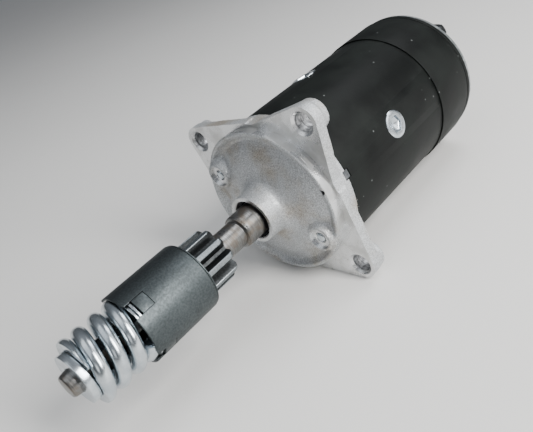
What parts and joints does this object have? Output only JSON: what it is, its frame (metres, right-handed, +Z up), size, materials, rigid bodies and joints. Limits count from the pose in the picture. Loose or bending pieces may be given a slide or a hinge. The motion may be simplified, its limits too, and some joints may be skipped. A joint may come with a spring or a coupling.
{
  "type": "starter motor",
  "caption": "Inertia-drive starter motor: round black body with a cast eared flange, toothed pinion, barrel and heavy spring on its shaft.",
  "frame": {"origin": "centre of the bounding box's base, on the plane the motor lies on", "axes": "+X along the shaft from the drive end to the commutator end, +Z up, +Y across"},
  "size_m": [0.3732, 0.1334, 0.1215],
  "materials": {
    "cast_aluminium": "machined flange and rim, sand-cast face and nose",
    "black_paint": "satin black with worn edges",
    "dark_steel": "oiled gunmetal grey",
    "bright_steel": "ground, lightly stained",
    "zinc_steel": "bright zinc plate",
    "bronze": "sintered, oily",
    "copper": "bare copper, dulled",
    "carbon": "copper-graphite, matt",
    "insulation": "moulded phenolic",
    "coil_tape": "varnished cotton tape"
  },
  "bodies": {
    "motor": {"drive_end_bracket": "cast_aluminium", "drive_end_bush": "bronze", "commutator_end_bush": "bronze", "yoke": "black_paint", "locating_dowel": "dark_steel", "pole_shoe_1": "dark_steel", "pole_shoe_2": "dark_steel", "pole_shoe_3": "dark_steel", "pole_shoe_4": "dark_steel", "pole_screw_1": "zinc_steel", "pole_screw_2": "zinc_steel", "pole_screw_3": "zinc_steel", "pole_screw_4": "zinc_steel", "field_coil_1": "coil_tape", "field_coil_2": "coil_tape", "field_coil_3": "coil_tape", "field_coil_4": "coil_tape", "cover_band": "black_paint", "band_screw": "zinc_steel", "band_nut": "zinc_steel", "commutator_end_bracket": "black_paint", "end_cap": "zinc_steel", "through_bolt_1": "zinc_steel", "through_bolt_2": "zinc_steel", "terminal_stud": "copper", "terminal_insulator": "insulation", "terminal_washer": "zinc_steel", "terminal_nut": "zinc_steel", "terminal_lock_nut": "dark_steel", "brush_holder_1": "dark_steel", "brush_holder_2": "dark_steel", "brush_holder_3": "dark_steel", "brush_holder_4": "dark_steel"},
    "armature": {"armature_shaft": "bright_steel", "armature_core": "dark_steel", "armature_winding": "copper", "commutator": "copper", "thrust_washer": "bronze", "main_spring": "zinc_steel", "shaft_collar": "zinc_steel", "collar_pin": "bright_steel"},
    "sleeve": {"screwed_sleeve": "dark_steel", "buffer_washer": "bright_steel", "restraining_spring": "zinc_steel"},
    "carriage": {"retaining_ring": "bright_steel"},
    "pinion": {"pinion": "dark_steel", "barrel": "dark_steel", "control_nut": "dark_steel"},
    "brush_1": {"brush_1": "carbon"},
    "brush_spring_1": {"brush_spring_1": "bright_steel"},
    "brush_2": {"brush_2": "carbon"},
    "brush_spring_2": {"brush_spring_2": "bright_steel"},
    "brush_3": {"brush_3": "carbon"},
    "brush_spring_3": {"brush_spring_3": "bright_steel"},
    "brush_4": {"brush_4": "carbon"},
    "brush_spring_4": {"brush_spring_4": "bright_steel"}
  },
  "joints": [
    {"name": "armature_spin", "type": "hinge", "parent": "motor", "child": "armature", "pos_m": [-0.01395, -0.00205, 0.0548], "axis": [1, 0, 0], "continuous": true},
    {"name": "sleeve_cushion", "type": "slide", "parent": "armature", "child": "sleeve", "axis": [-1, 0, 0], "range_m": [0, 0.003], "stiffness_N_per_m": 60000, "springref_m": -0.002, "deforming": ["main_spring"]},
    {"name": "pinion_throw", "type": "slide", "parent": "sleeve", "child": "carriage", "axis": [1, 0, 0], "range_m": [0, 0.0185], "stiffness_N_per_m": 600, "springref_m": -0.015, "deforming": ["restraining_spring"]},
    {"name": "pinion_turn", "type": "hinge", "parent": "carriage", "child": "pinion", "pos_m": [-0.01395, -0.00205, 0.0548], "axis": [1, 0, 0], "range_deg": [0, 186]},
    {"name": "brush_lift_1", "type": "slide", "parent": "motor", "child": "brush_1", "axis": [0, 0.3115, 0.9502], "range_m": [0, 0.003], "stiffness_N_per_m": 400, "springref_m": -0.01},
    {"name": "brush_spring_turn_1", "type": "hinge", "parent": "motor", "child": "brush_spring_1", "pos_m": [0.13205, -0.00507, 0.09051], "axis": [1, 0, 0], "range_deg": [0, 12]},
    {"name": "brush_lift_2", "type": "slide", "parent": "motor", "child": "brush_2", "axis": [0, -0.9502, 0.3115], "range_m": [0, 0.003], "stiffness_N_per_m": 400, "springref_m": -0.01},
    {"name": "brush_spring_turn_2", "type": "hinge", "parent": "motor", "child": "brush_spring_2", "pos_m": [0.13205, -0.03777, 0.05177], "axis": [1, 0, 0], "range_deg": [0, 12]},
    {"name": "brush_lift_3", "type": "slide", "parent": "motor", "child": "brush_3", "axis": [0, -0.3115, -0.9502], "range_m": [0, 0.003], "stiffness_N_per_m": 400, "springref_m": -0.01},
    {"name": "brush_spring_turn_3", "type": "hinge", "parent": "motor", "child": "brush_spring_3", "pos_m": [0.13205, 0.00097, 0.01908], "axis": [1, 0, 0], "range_deg": [0, 12]},
    {"name": "brush_lift_4", "type": "slide", "parent": "motor", "child": "brush_4", "axis": [0, 0.9502, -0.3115], "range_m": [0, 0.003], "stiffness_N_per_m": 400, "springref_m": -0.01},
    {"name": "brush_spring_turn_4", "type": "hinge", "parent": "motor", "child": "brush_spring_4", "pos_m": [0.13205, 0.03367, 0.05782], "axis": [1, 0, 0], "range_deg": [0, 12]}
  ],
  "couplings": [
    {"joint": "pinion_turn", "follows": "pinion_throw", "rad_per_m": 174.53},
    {"joint": "brush_spring_turn_1", "follows": "brush_lift_1", "rad_per_m": 69.4},
    {"joint": "brush_spring_turn_2", "follows": "brush_lift_2", "rad_per_m": 69.4},
    {"joint": "brush_spring_turn_3", "follows": "brush_lift_3", "rad_per_m": 69.4},
    {"joint": "brush_spring_turn_4", "follows": "brush_lift_4", "rad_per_m": 69.4}
  ]
}
